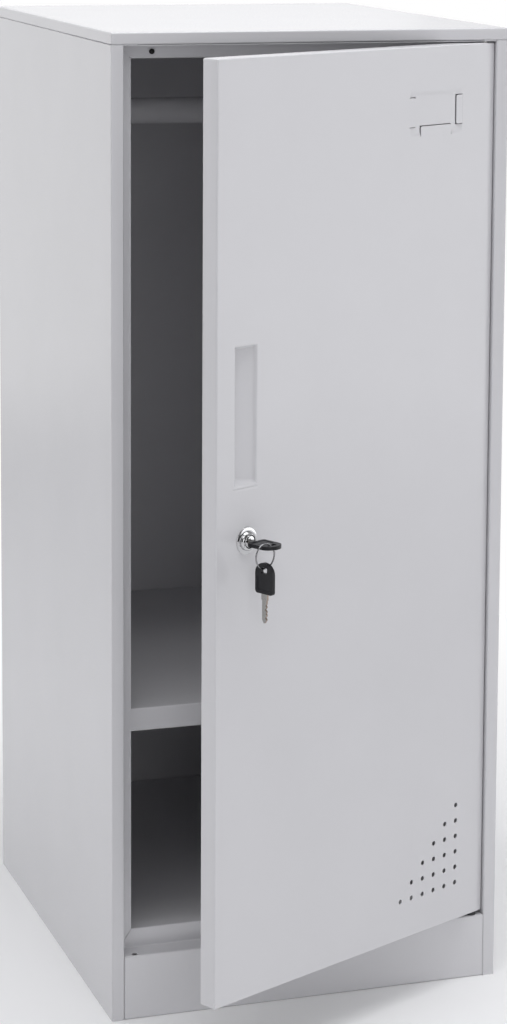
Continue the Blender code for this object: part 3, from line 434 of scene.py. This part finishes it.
def studio_floor():
    """A wide pale floor that turns to white away from the object's shadow."""
    bpy.ops.mesh.primitive_plane_add(size=FLOOR_SIZE)
    floor = bpy.context.active_object
    floor.name = "studio_floor"
    made, tree, shader = start_material("floor_paper")
    shader.inputs["Base Color"].default_value = (*FLOOR_COLOUR, 1)
    shader.inputs["Roughness"].default_value = 1
    shader.inputs["Specular IOR Level"].default_value = 0
    white = tree.nodes.new("ShaderNodeEmission")
    both = tree.nodes.new("ShaderNodeMixShader")
    tree.links.new(floor_whiteness(tree), both.inputs["Fac"])
    tree.links.new(shader.outputs["BSDF"], both.inputs[1])
    tree.links.new(white.outputs["Emission"], both.inputs[2])
    tree.links.new(both.outputs["Shader"], tree.nodes["Material Output"].inputs["Surface"])
    floor.data.materials.append(made)


def room_light(tree):
    """Brightness of the studio in a direction: the sweep is white, the room goes darker to the front."""
    place = tree.nodes.new("ShaderNodeTexCoord")
    parts = tree.nodes.new("ShaderNodeSeparateXYZ")
    tree.links.new(place.outputs["Generated"], parts.inputs["Vector"])
    room = smooth(tree, parts.outputs["Y"], ROOM_TURN, (ROOM_FRONT, ROOM_BACK))
    edge = math_node(tree, "MULTIPLY", parts.outputs["Y"], SWEEP_EDGE)
    left = math_node(tree, "LESS_THAN", parts.outputs["X"], edge)
    behind = math_node(tree, "GREATER_THAN", parts.outputs["Y"], SWEEP_FRONT)
    sweep = math_node(tree, "MULTIPLY", left, behind)
    return math_node(tree, "MAXIMUM", sweep, room)


def studio_world():
    """White to the eye, the sweep and the room in reflections, and a soft grey light on surfaces."""
    world = bpy.data.worlds.new("studio")
    world.use_nodes = True
    tree = world.node_tree
    ambient = tree.nodes["Background"]
    ambient.inputs["Color"].default_value = (*AMBIENT, 1)
    white = tree.nodes.new("ShaderNodeBackground")
    white.inputs["Color"].default_value = (1, 1, 1, 1)
    path = tree.nodes.new("ShaderNodeLightPath")
    eye = math_node(tree, "MAXIMUM", path.outputs["Is Camera Ray"], room_light(tree))
    tree.links.new(eye, white.inputs["Strength"])
    either = tree.nodes.new("ShaderNodeMixShader")
    tree.links.new(seen_directly(tree), either.inputs["Fac"])
    tree.links.new(ambient.outputs["Background"], either.inputs[1])
    tree.links.new(white.outputs["Background"], either.inputs[2])
    tree.links.new(either.outputs["Shader"], tree.nodes["World Output"].inputs["Surface"])
    bpy.context.scene.world = world


def softbox(name, place, size, power):
    lamp = bpy.data.lights.new(name, "AREA")
    lamp.shape = "SQUARE"
    lamp.size = size
    lamp.energy = power
    lamp.color = LAMP_TINT
    obj = bpy.data.objects.new(name, lamp)
    obj.location = place
    obj.rotation_euler = (Vector(LAMP_TARGET) - obj.location).to_track_quat("-Z", "Y").to_euler()
    obj.visible_camera = False
    bpy.context.scene.collection.objects.link(obj)


def studio_lights():
    for name, (place, size, power) in LAMPS.items():
        softbox(name, place, size, power)


def photo_camera():
    """Camera at the photograph's viewpoint."""
    data = bpy.data.cameras.new("photo_camera")
    data.sensor_width = SENSOR
    data.lens = SENSOR * FOCAL / max(IMAGE)
    data.shift_x = (IMAGE[0] / 2 - PRINCIPAL[0]) / max(IMAGE)
    data.shift_y = (PRINCIPAL[1] - IMAGE[1] / 2) / max(IMAGE)
    camera = bpy.data.objects.new("photo_camera", data)
    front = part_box("side_panel_left")[0].y
    turn = Matrix.Rotation(-HEADING, 4, "Z") @ Matrix.Rotation(math.pi / 2 - DIP, 4, "X")
    roll = Matrix.Rotation(-ROLL, 4, "Z")
    camera.matrix_world = Matrix.Translation(Vector(EYE) + Vector((0, front, 0))) @ turn @ roll
    bpy.context.scene.collection.objects.link(camera)
    bpy.context.scene.camera = camera


def main():
    bpy.context.scene.view_settings.view_transform = "Standard"
    finishes = slot_finishes()
    dress_nodes(finishes, own_finishes())
    paint_seams(finishes["paint"])
    barrel_thread(finishes["chrome"])
    studio_floor()
    studio_world()
    studio_lights()
    photo_camera()


main()
